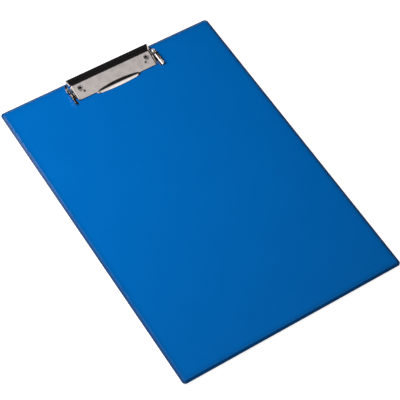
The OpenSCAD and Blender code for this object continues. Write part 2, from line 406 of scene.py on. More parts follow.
def make_greyboard():
    material, shader, graph = new_finish("greyboard", {"Roughness": 0.9})
    place = object_place(graph)
    fibre_x = noise(stretched(place, FIBRE_ALONG_X), FINE_FIBRE)
    fibre_y = noise(stretched(place, FIBRE_ALONG_Y), COARSE_FIBRE)
    fleck = noise(place, BOARD_FLECK)
    fibres = fibre_x * 0.5 + fibre_y * 0.5
    feed(shader, {
        "Base Color": mixed(fibres * 0.7 + fleck * 0.3, BOARD_DARK, BOARD_PALE),
        "Normal": bumped(fibres, BOARD_RELIEF),
    })
    return material


# %% All the finishes
FINISHES = {
    "blue_pvc": make_blue_pvc(),
    "chrome": make_chrome(),
    "black_vinyl": make_black_vinyl(),
    "greyboard": make_greyboard(),
    "steel": make_steel("steel", (0.62, 0.60, 0.57), (0.48, 0.47, 0.45), 0.16, 0.15, 0.004),
    "spring_steel": make_steel("spring_steel", (0.42, 0.41, 0.40), (0.28, 0.28, 0.27), 0.26,
                               0.2, 0.006),
    # The rivet steel is darker than the pin's. This is partly a dark steel and partly painted shade, so the rivet
    # deep in each hole of the plate reads dark.
    "rivet_steel": make_steel("rivet_steel", (0.40, 0.39, 0.37), (0.28, 0.27, 0.26), 0.28,
                              0.3, 0.008),
}
print("finishes:", ", ".join(FINISHES))

# %% [markdown]
# ## The studio
#
# The board lies on a pale floor under one soft lamp behind its left shoulder. The face darkens
# evenly away from the lamp, and the clip casts a soft shadow forwards. The room is white where
# the camera or a mirror looks at it, and gives only a weak light of its own. No reflection shows
# the lamp, because it would put a round spot on the glossy film.

# %% Room light
FILL = 0.22
bpy.context.scene.view_settings.view_transform = "Standard"


def is_seen(graph):
    """1 for what the camera, a mirror or glass looks at, and 0 for light that bounces."""
    seen = [graph.node("LightPath", output=place) for place in (0, 3, 6)]
    return graph.math("MAXIMUM", graph.math("MAXIMUM", seen[0], seen[1]), seen[2])


world = bpy.data.worlds.new("room")
bpy.context.scene.world = world
world.use_nodes = True
room = Socket(world.node_tree)
background = world.node_tree.nodes["Background"]
strength = is_seen(room) * (1 - FILL) + FILL
world.node_tree.links.new(strength.link, background.inputs["Strength"])
background.inputs["Color"].default_value = (1, 1, 1, 1)

# %% Soft lamp
LAMP_PLACE = Vector((-0.27, 0.16, 0.55))
LAMP_SIZE = 0.3
LAMP_WATTS = 3.0
lamp_data = bpy.data.lights.new("soft_lamp", "AREA")
lamp_data.shape = "DISK"
lamp_data.size = LAMP_SIZE
lamp_data.energy = LAMP_WATTS
lamp = bpy.data.objects.new("soft_lamp", lamp_data)
bpy.context.scene.collection.objects.link(lamp)
lamp.location = LAMP_PLACE
lamp.rotation_mode = "QUATERNION"
lamp.rotation_quaternion = LAMP_PLACE.to_track_quat("Z", "Y")
lamp.visible_glossy = False


# %% [markdown]
# The floor is matt and pale, so that it takes the board's shadow. What the camera or a mirror
# sees of it is lifted to white by a little glow, and far from the board it turns plain white. It
# lies a hair below the board, so that the two never share a plane.

# %% Floor
FLOOR_SIZE = 30
FLOOR_GAP = 0.0002
BOARD_ZONE = 0.5
FAR_ZONE = 1.2
FLOOR_GLOW = 0.85
FLOOR_COLOUR = (0.5, 0.5, 0.5, 1)
MATT = 0.9


def plane_piece(name, size, material):
    bm = bmesh.new()
    bmesh.ops.create_grid(bm, x_segments=1, y_segments=1, size=size / 2)
    mesh = bpy.data.meshes.new(name)
    bm.to_mesh(mesh)
    bm.free()
    mesh.materials.append(material)
    made = bpy.data.objects.new(name, mesh)
    bpy.context.scene.collection.objects.link(made)
    return made


def make_floor_material():
    material, shader, graph = new_finish("floor", {"Base Color": FLOOR_COLOUR, "Roughness": MATT})
    place = object_place(graph)
    far_off = graph.node("VectorMath", {"operation": "LENGTH"}, {0: place}, output=1)
    fade = graph.node("MapRange", {"interpolation_type": "SMOOTHSTEP"},
                      {"Value": far_off, "From Min": BOARD_ZONE, "From Max": FAR_ZONE})
    glow = graph.node("Emission", inputs={"Strength": is_seen(graph) * FLOOR_GLOW})
    white = graph.node("Emission", inputs={"Strength": is_seen(graph) * (1 - FILL) + FILL})
    near = graph.node("AddShader", inputs={0: Socket(graph.tree, shader.outputs[0]), 1: glow})
    both = graph.node("MixShader", inputs={0: fade, 1: near, 2: white})
    output = graph.tree.nodes["Material Output"]
    graph.tree.links.new(both.link, output.inputs["Surface"])
    return material


floor = plane_piece("floor", FLOOR_SIZE, make_floor_material())
floor.location.z = -FLOOR_GAP

# %% [markdown]
# Polished metal shows whatever is around it, so the room matters as much as the lamp. A dark
# curtain hangs round most of it. It keeps the blue face deep and gives the bends of the clip
# their dark lines. A grey and a white panel overhead give the clip's plate and lip their tones,
# and a small bright one behind the left shoulder gives the film's left edge its line. The camera
# sees none of them. A panel could be a plain plane, but a round one leaves no corner in a bend.

# %% Panels and curtain
CURTAIN_DISTANCE = 3.0
CURTAIN_GREY = 0.02
CURTAIN_FROM = math.radians(-20)
CURTAIN_TURN = math.radians(242)
CURTAIN_STEPS = 48
RAIL_STEP = 5
# Each panel's brightness, azimuth, elevation, spread in degrees, and distance in metres.
PANELS = {
    "grey_panel": (0.84, 68, 74, 15, 2.4),
    "white_panel": (1.6, 50, 64, 7, 2.3),
    "edge_panel": (7.0, 222, 38, 8, 0.78),
}


def card_material(name, grey):
    material = bpy.data.materials.new(name)
    material.use_nodes = True
    graph = Socket(material.node_tree)
    glow = graph.node("Emission", inputs={"Strength": grey})
    output = graph.tree.nodes["Material Output"]
    graph.tree.links.new(glow.link, output.inputs["Surface"])
    return material


def off_camera(card):
    """Keeps a card in the room's light and reflections, and out of the camera's own view."""
    card.visible_camera = False
    card.visible_transmission = False


def hang_panel(name, brightness, azimuth, elevation, spread, distance):
    """A round panel that faces the board and fills this many degrees round its middle."""
    away = from_angles(math.radians(azimuth), math.radians(elevation))
    panel = plane_piece(name, 1, card_material(name, brightness))
    bm = bmesh.new()
    radius = distance * math.tan(math.radians(spread))
    turn = Matrix.Translation(away * distance) @ away.to_track_quat("Z", "Y").to_matrix().to_4x4()
    bmesh.ops.create_circle(bm, cap_ends=True, segments=64, radius=radius, matrix=turn)
    bm.to_mesh(panel.data)
    bm.free()
    off_camera(panel)


for name, settings in PANELS.items():
    hang_panel(name, *settings)

curtain = plane_piece("curtain", 1, card_material("curtain_black", CURTAIN_GREY))
bm = bmesh.new()
rail = [bm.verts.new(from_angles(CURTAIN_FROM, math.radians(angle)) * CURTAIN_DISTANCE)
        for angle in range(0, 91, RAIL_STEP)]
edges = [bm.edges.new(pair) for pair in zip(rail, rail[1:])]
bmesh.ops.spin(bm, geom=rail + edges, cent=(0, 0, 0), axis=(0, 0, 1), angle=CURTAIN_TURN,
               steps=CURTAIN_STEPS, use_merge=False)
bm.to_mesh(curtain.data)
bm.free()
off_camera(curtain)
print("studio: a lamp, a floor, a curtain and", len(PANELS), "panels")

# %% [markdown]
# ## Modelling helpers
#
# Each piece is one bmesh in millimetres. A few short helpers turn it into a finished object:
# they round its sharp edges, scale it, mark its creases, give it its finish and tie it to the
# body that carries it. A modifier can be run on a bmesh by way of a short-lived object.

# %% Running a modifier
def add_object(name, bm):
    mesh = bpy.data.meshes.new(name)
    bm.to_mesh(mesh)
    bm.free()
    made = bpy.data.objects.new(name, mesh)
    bpy.context.scene.collection.objects.link(made)
    return made


def evaluated(made):
    """The object as its modifiers leave it."""
    return made.evaluated_get(bpy.context.evaluated_depsgraph_get())


def discard(*objects):
    for used in objects:
        mesh = used.data
        bpy.data.objects.remove(used)
        bpy.data.meshes.remove(mesh)


def modified(bm, kind, **settings):
    """The bmesh after one modifier; the first one is used up."""
    blank = add_object("blank", bm)
    step = blank.modifiers.new("step", kind)
    for name, value in settings.items():
        setattr(step, name, value)
    result = bmesh.new()
    result.from_mesh(evaluated(blank).data)
    discard(blank)
    return result


# %% [markdown]
# The last step of a piece gives each corner a normal that leans to the larger face beside it.
# A flat plate then stays a flat mirror up to its rounded edge, which plated metal needs.

# %% Finishing a piece
CREASE = math.radians(38)
WELD = 0.002


def soft_edges(bm, edge):
    """Rounds the sharp edges of a bmesh."""
    return modified(bm, "BEVEL", width=edge, segments=2, limit_method="ANGLE",
                    angle_limit=CREASE, use_clamp_overlap=False)


def finish_piece(name, bm, slot, *nodes, edge=0.0):
    """A bmesh in millimetres becomes a shown piece in metres that stands for the CAD nodes."""
    bmesh.ops.remove_doubles(bm, verts=bm.verts, dist=WELD)
    bmesh.ops.dissolve_degenerate(bm, edges=bm.edges, dist=WELD)
    bmesh.ops.recalc_face_normals(bm, faces=bm.faces)
    if edge:
        bm = soft_edges(bm, edge)
    open_edges = sum(not e.is_manifold for e in bm.edges)
    made = add_object(name, bm)
    made.data.materials.append(FINISHES[slot])
    made.data.shade_smooth()
    made.data.set_sharp_from_angle(angle=CREASE)
    made.modifiers.new("leaning", "WEIGHTED_NORMAL").keep_sharp = True
    mesh = bpy.data.meshes.new_from_object(evaluated(made))
    made.modifiers.clear()
    rough = made.data
    made.data = mesh
    bpy.data.meshes.remove(rough)
    mesh.name = name
    mesh.transform(Matrix.Scale(MM, 4))
    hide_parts(*nodes)
    print(f"{name}: {len(mesh.polygons)} faces, {open_edges} open edges")
    return made


# %% [markdown]
# Sheet metal is easiest to cut with booleans: a bent sheet meets prisms in the shape of its
# outline, its slots and its holes. The exact solver keeps the cuts clean.

# %% Cutting
SPARE = 1  # how far a cutter runs past what it cuts


def boolean(bm, other, operation="DIFFERENCE"):
    """The first bmesh after a boolean with the second; both are used up."""
    tool = add_object("tool", other)
    result = modified(bm, "BOOLEAN", object=tool, operation=operation, solver="EXACT")
    discard(tool)
    return result


def prism(outline, low, high, turn=None):
    """An outline in the XY plane, raised from low to high, then turned by a matrix."""
    bm = bmesh.new()
    corners = [bm.verts.new((x, y, low)) for x, y in outline]
    face = bm.faces.new(corners)
    raised = bmesh.ops.extrude_face_region(bm, geom=[face])
    top = [item for item in raised["geom"] if isinstance(item, bmesh.types.BMVert)]
    bmesh.ops.translate(bm, vec=(0, 0, high - low), verts=top)
    bmesh.ops.recalc_face_normals(bm, faces=bm.faces)
    if turn:
        bmesh.ops.transform(bm, matrix=turn, verts=bm.verts)
    return bm


def post(x, y, diameter, low, high, segments=48):
    """An upright round cutter."""
    bm = bmesh.new()
    bmesh.ops.create_cone(bm, cap_ends=True, segments=segments, radius1=diameter / 2,
                          radius2=diameter / 2, depth=high - low)
    bmesh.ops.translate(bm, vec=(x, y, (low + high) / 2), verts=bm.verts)
    return bm


# %% [markdown]
# ## The covers
#
# Each cover is a PVC film that lies flat on the card, drops over the card's edge in a soft curve
# and ends in a thin rim, where the two films are welded together. Seen from above that slope is
# the fine bright or dark line round the board. A bevelled box would have the outline, but not
# the pocket for the card. So the top is one face with rounded corners, and every step of the
# slope is an inset of that face: `inset_region` moves in by a little and sinks or rises by a
# little, so the corners stay true to the outline all the way down.

# %% Cover sizes
CORNER_STEPS = 10
RIM_H = 0.26
RIM_W = 0.4
SLOPE_W = 2.5
SLOPE_STEPS = 15
HOLD = 0.22
FILM_T = core_low.z
CARD_PLAY = 0.05
POCKET_IN = (BOARD_W - (core_high.x - core_low.x)) / 2 - CARD_PLAY
POCKET_LEAN = 0.001
RIVET_HOLE = 3.7
DISH_D = 8.4
DISH_H = 0.5


def rounded_face(bm, width, height, radius, z):
    """A flat face with four round corners."""
    bmesh.ops.create_grid(bm, x_segments=1, y_segments=1, size=0.5)
    bmesh.ops.scale(bm, vec=(width, height, 1), verts=bm.verts)
    bmesh.ops.translate(bm, vec=(0, 0, z), verts=bm.verts)
    bmesh.ops.bevel(bm, geom=bm.verts[:], offset=radius, offset_type="ABSOLUTE", affect="VERTICES",
                    segments=CORNER_STEPS, profile=0.5, material=-1)
    return next(iter(bm.faces))


def inset(bm, face, inwards, rise):
    bmesh.ops.inset_region(bm, faces=[face], thickness=inwards, depth=rise, use_even_offset=True)


def eased(part):
    """Starts and ends level, with an even slope for most of the way."""
    return part * part * (3 - 2 * part) * 0.4 + part * 0.6


def cover_film():
    """The front film, with its pocket for the card; the back film is its mirror image."""
    bm = bmesh.new()
    pocket = rounded_face(bm, BOARD_W, BOARD_H, CORNER_R, MID_Z)
    raised = bmesh.ops.extrude_face_region(bm, geom=[pocket])
    top_verts = [item for item in raised["geom"] if isinstance(item, bmesh.types.BMVert)]
    bmesh.ops.translate(bm, vec=(0, 0, RIM_H), verts=top_verts)
    bmesh.ops.recalc_face_normals(bm, faces=bm.faces)
    top = next(item for item in raised["geom"] if isinstance(item, bmesh.types.BMFace))
    inset(bm, top, RIM_W, 0)
    rises = [eased((i + 1) / SLOPE_STEPS) - eased(i / SLOPE_STEPS) for i in range(SLOPE_STEPS)]
    for rise in rises:
        inset(bm, top, SLOPE_W / SLOPE_STEPS, rise * (BOARD_T - MID_Z - RIM_H))
    inset(bm, top, HOLD, 0)
    inset(bm, pocket, POCKET_IN, 0)
    inset(bm, pocket, POCKET_LEAN, FILM_T + MID_Z - BOARD_T)
    return bm


# %% Front cover
def make_front_cover():
    bm = cover_film()
    for side in (-1, 1):
        bm = boolean(bm, post(side * RIVET_X, RIVET_Y, RIVET_HOLE, MID_Z, BOARD_T + SPARE))
    return finish_piece("front_film", bm, "blue_pvc", "front_cover")


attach(make_front_cover(), "board")


# %% [markdown]
# The back film is pressed into a round dish at each rivet, so that the rivet's head lies flush
# and the board can lie flat. The mouth of the dish is drawn in with a soft edge, which the
# cutter carries as a small flare.

# %% Back cover
DISH_FLARE = 0.25
POLE_WELD = 0.0005


def spun(profile, steps=64):
    """A wire of (radius, height) points turned round the Z axis into a closed solid."""
    bm = bmesh.new()
    verts = [bm.verts.new((radius, 0, height)) for radius, height in profile]
    edges = [bm.edges.new(pair) for pair in zip(verts, verts[1:])]
    bmesh.ops.spin(bm, geom=verts + edges, cent=(0, 0, 0), axis=(0, 0, 1), angle=2 * math.pi,
                   steps=steps, use_merge=True)
    bmesh.ops.remove_doubles(bm, verts=bm.verts, dist=POLE_WELD)
    bmesh.ops.recalc_face_normals(bm, faces=bm.faces)
    return bm


def arc(centre, radius, start, end, steps):
    """Points of a round stretch, with its angles in degrees."""
    angles = [math.radians(start + (end - start) * i / steps) for i in range(steps + 1)]
    return [(centre[0] + radius * math.cos(a), centre[1] + radius * math.sin(a)) for a in angles]


def dish_cutter():
    mouth = DISH_D / 2 + DISH_FLARE
    flare = arc((mouth, DISH_FLARE), DISH_FLARE, 180, 270, 5)
    return spun([(0, DISH_H), (DISH_D / 2, DISH_H), *flare, (mouth, -SPARE), (0, -SPARE)])


def make_back_cover():
    bm = cover_film()
    bmesh.ops.scale(bm, vec=(1, 1, -1), verts=bm.verts)
    bmesh.ops.translate(bm, vec=(0, 0, BOARD_T), verts=bm.verts)
    bmesh.ops.reverse_faces(bm, faces=bm.faces)
    for side in (-1, 1):
        well = post(side * RIVET_X, RIVET_Y, DISH_D + 2 * FILM_T, FILM_T / 2, DISH_H + FILM_T)
        bm = boolean(bm, well, "UNION")
        dish = dish_cutter()
        bmesh.ops.translate(dish, vec=(side * RIVET_X, RIVET_Y, 0), verts=dish.verts)
        bm = boolean(bm, dish)
        bm = boolean(bm, post(side * RIVET_X, RIVET_Y, RIVET_HOLE, -SPARE, MID_Z))
    return finish_piece("back_film", bm, "blue_pvc", "back_cover")


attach(make_back_cover(), "board")

# %% [markdown]
# ## The clip
#
# The clip's pieces are modelled round the hinge: y is counted behind the pin and z above the
# board's face, and `seat` moves a finished bmesh to its place on the board. Folded sheet starts
# as a surface without thickness, which is bent or lofted to shape. Solidify then gives it the
# sheet's thickness, half of it to each side.

# %% Sheet metal helpers
BEND_STEPS = 5


def seat(bm):
    bmesh.ops.translate(bm, vec=(0, PIN_Y, BOARD_T), verts=bm.verts)
    return bm


def new_verts(result):
    return [item for item in result["geom"] if isinstance(item, bmesh.types.BMVert)]


def wire(bm, points):
    verts = [bm.verts.new(point) for point in points]
    return [bm.edges.new(pair) for pair in zip(verts, verts[1:])]


def thicken(bm, thickness):
    bmesh.ops.recalc_face_normals(bm, faces=bm.faces)
    return modified(bm, "SOLIDIFY", thickness=thickness, offset=0, use_even_offset=True)


def bend(bm, edges, reach):
    """Rounds fold lines; the bend starts this far from each line."""
    bmesh.ops.bevel(bm, geom=edges, offset=reach, offset_type="OFFSET", affect="EDGES",
                    segments=BEND_STEPS, profile=0.5, material=-1, clamp_overlap=False)


SIDE_ON = Matrix(((0, 0, 1, 0), (1, 0, 0, 0), (0, 1, 0, 0), (0, 0, 0, 1)))


def side_prism(outline, low, high):
    """A prism whose outline is (behind the pin, above the board), drawn across the clip."""
    return prism(outline, low, high, SIDE_ON)


def both_sides(outline):
    """An outline drawn for the right half, closed by its mirror image."""
    return outline + [(-x, y) for x, y in reversed(outline)]


# %% [markdown]
# ### The base
#
# The base is one sheet, folded up into an ear at each end. Its floor has a window below each
# spring and a slot for each side of the lever. The openings could be drawn in the flat blank,
# but a bevelled fold would pull their corners along. So the plain blank is folded first, by a
# bevel of its two fold lines. Then two prisms keep what lies inside the clip's plan and inside
# the ear's outline, and small cutters make the openings. The ears are highest in front, where
# they guard the jaw, and fall over the pin. The trim line stays clear of the foot's upper face.

# %% Base sizes
BASE_T = 0.8
BASE_HALF = (base_high.x - base_low.x) / 2
EAR_MID = BASE_HALF - BASE_T / 2
EAR_H = 4.6
EAR_FRONT = 16.2
EAR_REAR = 5.4
FOOT_REAR = 8.8
FLOOR_FRONT = 9.5
FLOOR_REAR = 3.2
SLOT_IN = 42.9
SLOT_OUT = 44.9
SLOT_FRONT = 2.35
SPRING_IN = 14.0
COIL_LENGTH = 11.2
WINDOW = (11.8, 4.0)
BORE_D = 1.7
BORE_SEGMENTS = 32
BASE_BEND = 3.3
BASE_EDGE = 0.1

# %% Base outlines
FRONT_CORNER = 0.6
REAR_CORNER = [(BASE_HALF, EAR_REAR), (BASE_HALF - 2.2, FOOT_REAR - 0.8),
               (BASE_HALF - 3.0, FOOT_REAR)]
NOSE_R = 1.5
TRIM_CLEAR = 0.15
BASE_PLAN = both_sides([
    (0, -FLOOR_FRONT), (SLOT_OUT, -FLOOR_FRONT), (SLOT_OUT, -EAR_FRONT + FRONT_CORNER),
    (SLOT_OUT + FRONT_CORNER, -EAR_FRONT), (BASE_HALF + SPARE, -EAR_FRONT),
    (BASE_HALF + SPARE, EAR_REAR), *REAR_CORNER, (SLOT_OUT, FOOT_REAR), (SLOT_OUT, -SLOT_FRONT),
    (SLOT_IN, -SLOT_FRONT), (SLOT_IN, FLOOR_REAR), (0, FLOOR_REAR)])
EAR_NOSE = arc((-EAR_FRONT + NOSE_R, EAR_H - NOSE_R), NOSE_R, 180, 90, 8)
EAR_FALL = arc((0, RISE), EAR_H - RISE, 90, 38, 10)
EAR_SIDE = [(-EAR_FRONT - SPARE, -SPARE), (-EAR_FRONT - SPARE, BASE_T), (-EAR_FRONT, 1.2),
            *EAR_NOSE, *EAR_FALL, (EAR_REAR - 0.6, BASE_T + 0.5),
            (EAR_REAR + 0.2, BASE_T + TRIM_CLEAR), (FOOT_REAR + SPARE, BASE_T + TRIM_CLEAR),
            (FOOT_REAR + SPARE, -SPARE)]


def pin_bore(reach):
    bm = post(0, 0, BORE_D, -reach, reach, segments=BORE_SEGMENTS)
    bmesh.ops.rotate(bm, cent=(0, 0, 0), matrix=Matrix.Rotation(math.pi / 2, 3, "Y"),
                     verts=bm.verts)
    bmesh.ops.translate(bm, vec=(0, 0, RISE), verts=bm.verts)
    return bm


# %% Base
def make_base():
    bm = bmesh.new()
    top = EAR_H + SPARE
    fold_z = BASE_T / 2
    front = -EAR_FRONT - 2 * SPARE
    edges = wire(bm, [(-EAR_MID, front, top), (-EAR_MID, front, fold_z),
                      (EAR_MID, front, fold_z), (EAR_MID, front, top)])
    drawn = bmesh.ops.extrude_edge_only(bm, edges=edges)
    bmesh.ops.translate(bm, vec=(0, FOOT_REAR + 2 * SPARE - front, 0), verts=new_verts(drawn))
    folds = [e for e in bm.edges if len(e.link_faces) == 2]
    bend(bm, folds, BASE_BEND)
    bm = thicken(bm, BASE_T)
    bm = boolean(bm, prism(BASE_PLAN, -SPARE, top + SPARE), "INTERSECT")
    bm = boolean(bm, side_prism(EAR_SIDE, -BASE_HALF - SPARE, BASE_HALF + SPARE), "INTERSECT")
    for side in (-1, 1):
        bm = boolean(bm, post(side * RIVET_X, RIVET_Y - PIN_Y, RIVET_HOLE, -SPARE, 2 * SPARE))
        x, half_w, half_d = side * (SPRING_IN + COIL_LENGTH / 2), WINDOW[0] / 2, WINDOW[1] / 2
        window = [(x - half_w, -half_d), (x + half_w, -half_d), (x + half_w, half_d),
                  (x - half_w, half_d)]
        bm = boolean(bm, prism(window, -SPARE, 2 * SPARE))
    bm = boolean(bm, pin_bore(BASE_HALF + SPARE))
    return finish_piece("base", seat(bm), "chrome", "clip_base", edge=BASE_EDGE)


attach(make_base(), "board")

# %% [markdown]
# ### The lever
#
# The lever is one pressed sheet: a plate that slopes down to the jaw, a crest over the springs,
# a valley, and a thumb flange that flares at its ends. In the middle of the jaw the press forms
# a tongue, which leaves the plate along a shallow arch, runs level and then rolls down to the
# paper. A bend would make the plate, but not the tongue, so the sheet is a loft: one section
# wire for each place across the clip, and `bridge_loops` between each pair of wires.

# %% Lever sizes
LEVER_T = 0.6
LEVER_MID = 43.7
JAW_Y = -12.8
JAW_Z = 1.0
JAW_TIP_Z = 0.3
PLATE_Z = 4.55
CREST_Y = 2.6
VALLEY = (4.2, 2.8)
FLANGE_END = (9.9, 5.4)
FLARE = 1.9
WALL_FRONT = -11.8
NOTCH_GAP = 0.7
WALL_DROP = 4.6
TONGUE_HALF = 24.0
TONGUE_ARCH = 2.5
TONGUE_LEVEL_END = -13.5
TONGUE_FALL = math.tan(math.radians(25))
TONGUE_TIP_Z = 0.36
PLATE_REACH = (0, 0.5, 0.6)
JAW_REACH = (0.02, 0.3)
TONGUE_REACH = (0.9, 0.6)
ROOM_SHARE = 0.45
SIDE_R = 2.4
LEVER_EDGE = 0.08


def plate_z(y):
    """Height of the sloping plate's middle layer."""
    return JAW_Z + (PLATE_Z - JAW_Z) * (y - JAW_Y) / -JAW_Y


def softened(points, reaches):
    """A line with its inner corners rounded; each rounding starts this far from its corner."""
    line = [Vector(point) for point in points]
    result = [line[0]]
    for before, corner, after, reach in zip(line, line[1:], line[2:], reaches):
        start = corner + (before - corner).normalized() * reach
        end = corner + (after - corner).normalized() * reach
        steps = BEND_STEPS if reach else 0
        for i in range(steps + 1):
            t = i / max(steps, 1)
            result.append(start * (1 - t) ** 2 + corner * 2 * t * (1 - t) + end * t * t)
    return result + [line[-1]]


def jaw_section(x):
    """The lever's section at a distance from its middle, from the jaw's tip to the flange."""
    swell = 1 - (x / TONGUE_HALF) ** 2
    if swell <= 0:
        front = [(JAW_Y, JAW_TIP_Z), (JAW_Y, (JAW_Z + JAW_TIP_Z) / 2), (JAW_Y, JAW_Z)]
        reach = JAW_REACH
    else:
        arch_y = JAW_Y + TONGUE_ARCH * swell
        level = plate_z(arch_y)
        tip_y = TONGUE_LEVEL_END - (level - TONGUE_TIP_Z) / TONGUE_FALL
        front = [(tip_y, TONGUE_TIP_Z), (TONGUE_LEVEL_END, level), (arch_y, level)]
        room = TONGUE_LEVEL_END - tip_y, arch_y - TONGUE_LEVEL_END
        reach = [min(want, ROOM_SHARE * min(room)) for want in TONGUE_REACH]
    wall_y = max(WALL_FRONT, front[2][0] + NOTCH_GAP)
    back = [(wall_y, plate_z(wall_y)), (CREST_Y, plate_z(CREST_Y)), VALLEY, FLANGE_END]
    return softened(front + back, (*reach, *PLATE_REACH))


print("tongue's tip reaches y", round(jaw_section(0)[0].x, 2))

# %% [markdown]
# At each end the loft goes on as three strips with a small notch between them: the jaw and the
# flange run straight out, and the strip between them curves down into a side wall. After the
# sheet has its thickness, a prism at each side trims the wall to a boss round the pin. The rivet
# holes in the plate have a pressed rim.

# %% Lever helpers
TONGUE_COLUMNS = 24
TONGUE_SIDE = 4
STRIP_GAPS = (0.1, 0.25, 0.5)  # kept free beside the jaw's corner and the valley
FOLD_STEPS = 8
RIM_IN = 1.9
RIM_OUT = 2.9
RIM_RISE = 0.16
HOLE_LOW = 1
HOLE_HIGH = 8
PILOT_D = 2.0
PILOT_X = RIVET_X - 2.7
PILOT_Y = RIVET_Y - PIN_Y - 3.8
BOSS_R = 2.05
WALL_LOW = 1.1
TRIM_IN = 1.2
TRIM_OUT = 1
WALL_TRIM = [(-12.2, -6), (-12.2, WALL_LOW), *arc((0, RISE), BOSS_R, 219.4, 304.5, 14),
             (3.75, 2.49), (6, 2.49), (6, -6)]


def loft(bm, sections):
    """Adds a sheet through open wires with equally many points."""
    rows = [wire(bm, section) for section in sections]
    for first, second in zip(rows, rows[1:]):
        bmesh.ops.bridge_loops(bm, edges=first + second)


def flared(y):
    """How far out the flange's end is at a distance behind the pin."""
    return LEVER_MID + FLARE * (y - VALLEY[0]) / (FLANGE_END[0] - VALLEY[0])


def lever_sheet():
    """The middle layer of the lever: the lofted plate, its ends and its folded side walls."""
    bm = bmesh.new()
    fold_x = LEVER_MID - SIDE_R
    inner = [TONGUE_HALF * (2 * i / TONGUE_COLUMNS - 1) for i in range(TONGUE_COLUMNS + 1)]
    plain = TONGUE_HALF + TONGUE_SIDE
    columns = [-fold_x, -plain, *inner, plain, fold_x]
    loft(bm, [[(x, y, z) for y, z in jaw_section(x)] for x in columns])
    end = jaw_section(LEVER_MID)
    jaw_end = WALL_FRONT - STRIP_GAPS[0]
    wall_end = VALLEY[0] - STRIP_GAPS[1]
    flange_start = VALLEY[0] + STRIP_GAPS[2]
    jaw = [(y, z) for y, z in end if y < jaw_end]
    wall = [(y, z) for y, z in end if jaw_end < y < wall_end]
    flange = [(y, z) for y, z in end if y > flange_start]
    fold = arc((fold_x, -SIDE_R), SIDE_R, 90, 0, FOLD_STEPS)
    for side in (-1, 1):
        loft(bm, [[(side * x, y, z) for y, z in jaw] for x in (fold_x, LEVER_MID)])
        loft(bm, [[(side * fold_x, y, z) for y, z in flange],
                  [(side * flared(y), y, z) for y, z in flange]])
        loft(bm, [[(side * x, y, z + drop) for y, z in wall]
                  for x, drop in (*fold, (LEVER_MID, -WALL_DROP))])
    bmesh.ops.remove_doubles(bm, verts=bm.verts, dist=WELD)
    return bm


def pressed_rim(x, y):
    """A low round rim on the sloping plate."""
    middle = (RIM_IN + RIM_OUT) / 2
    radius = (RIM_OUT - RIM_IN) / 2
    crown = [(r, LEVER_T / 2 + (z - LEVER_T / 2) * RIM_RISE / radius)
             for r, z in arc((middle, LEVER_T / 2), radius, 0, 180, 10)]
    bm = spun([(RIM_OUT, 0), *crown, (RIM_IN, 0), (RIM_OUT, 0)])
    tilt = math.atan((PLATE_Z - JAW_Z) / -JAW_Y)
    bmesh.ops.rotate(bm, cent=(0, 0, 0), matrix=Matrix.Rotation(tilt, 3, "X"), verts=bm.verts)
    bmesh.ops.translate(bm, vec=(x, y, plate_z(y)), verts=bm.verts)
    return bm


# %% Lever
def make_lever():
    bm = thicken(lever_sheet(), LEVER_T)
    for side in (-1, 1):
        inner, outer = side * (LEVER_MID - TRIM_IN), side * (LEVER_MID + TRIM_OUT)
        bm = boolean(bm, side_prism(WALL_TRIM, min(inner, outer), max(inner, outer)))
        x, y = side * RIVET_X, RIVET_Y - PIN_Y
        bm = boolean(bm, pressed_rim(x, y), "UNION")
        bm = boolean(bm, post(x, y, 2 * RIM_IN, HOLE_LOW, HOLE_HIGH))
        bm = boolean(bm, post(side * PILOT_X, PILOT_Y, PILOT_D, HOLE_LOW, HOLE_HIGH,
                              segments=BORE_SEGMENTS))
    bm = boolean(bm, pin_bore(LEVER_MID + 2 * SPARE))
    return finish_piece("lever", seat(bm), "chrome", "clip_lever", edge=LEVER_EDGE)


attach(make_lever(), "lever")

# %% [markdown]
# ### The thumb grip
#
# A strip of black vinyl is pushed on the flange's rear edge. Its section is a channel with a low
# rib along the top, so it is folded like the sheet pieces, then cut to the flange's flared plan.

# %% Thumb grip
GRIP_T = 0.5
GRIP_START = 0.4
GRIP_LAP = 2.4
GRIP_MARGIN = 1.4
GRIP_PLAY = 0.05
GRIP_OUT = LEVER_T / 2 + GRIP_PLAY + GRIP_T / 2
RIB = 0.3
RIB_HALF = 0.5
GRIP_REACH = (0.2, 0.25, 0.2, 0.35, 0.35)
GRIP_FLARE_FROM = 0.3
GRIP_RUN = 8
GRIP_REAR = 12
GRIP_TOP = 9
GRIP_EDGE = 0.16


def flange_point(along, above):
    """A point at a distance along the flange from the valley, and above its middle layer."""
    run = Vector(FLANGE_END) - Vector(VALLEY)
    way = run.normalized()
    return Vector(VALLEY) + way * along + Vector((-way.y, way.x)) * above


def make_grip():
    length = (Vector(FLANGE_END) - Vector(VALLEY)).length
    end = length + GRIP_PLAY + GRIP_T / 2
    corners = [(GRIP_START, GRIP_OUT), (length / 2 - RIB_HALF, GRIP_OUT),
               (length / 2, GRIP_OUT + RIB), (length / 2 + RIB_HALF, GRIP_OUT), (end, GRIP_OUT),
               (end, -GRIP_OUT), (end + GRIP_T / 2 - GRIP_LAP, -GRIP_OUT)]
    section = softened([flange_point(*c) for c in corners], GRIP_REACH)
    half = LEVER_MID + FLARE + 2 * SPARE
    bm = bmesh.new()
    loft(bm, [[(x, y, z) for y, z in section] for x in (-half, half)])
    bm = thicken(bm, GRIP_T)
    near, far = LEVER_MID + GRIP_FLARE_FROM - GRIP_MARGIN, LEVER_MID + FLARE - GRIP_MARGIN
    slope = (far - near) / (FLANGE_END[0] - VALLEY[0])
    plan = both_sides([(0, 0), (near - slope * VALLEY[0], 0),
                       (near + slope * GRIP_RUN, GRIP_REAR), (0, GRIP_REAR)])
    bm = boolean(bm, prism(plan, 0, GRIP_TOP), "INTERSECT")
    return finish_piece("grip", seat(bm), "black_vinyl", "thumb_grip", edge=GRIP_EDGE)


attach(make_grip(), "lever")

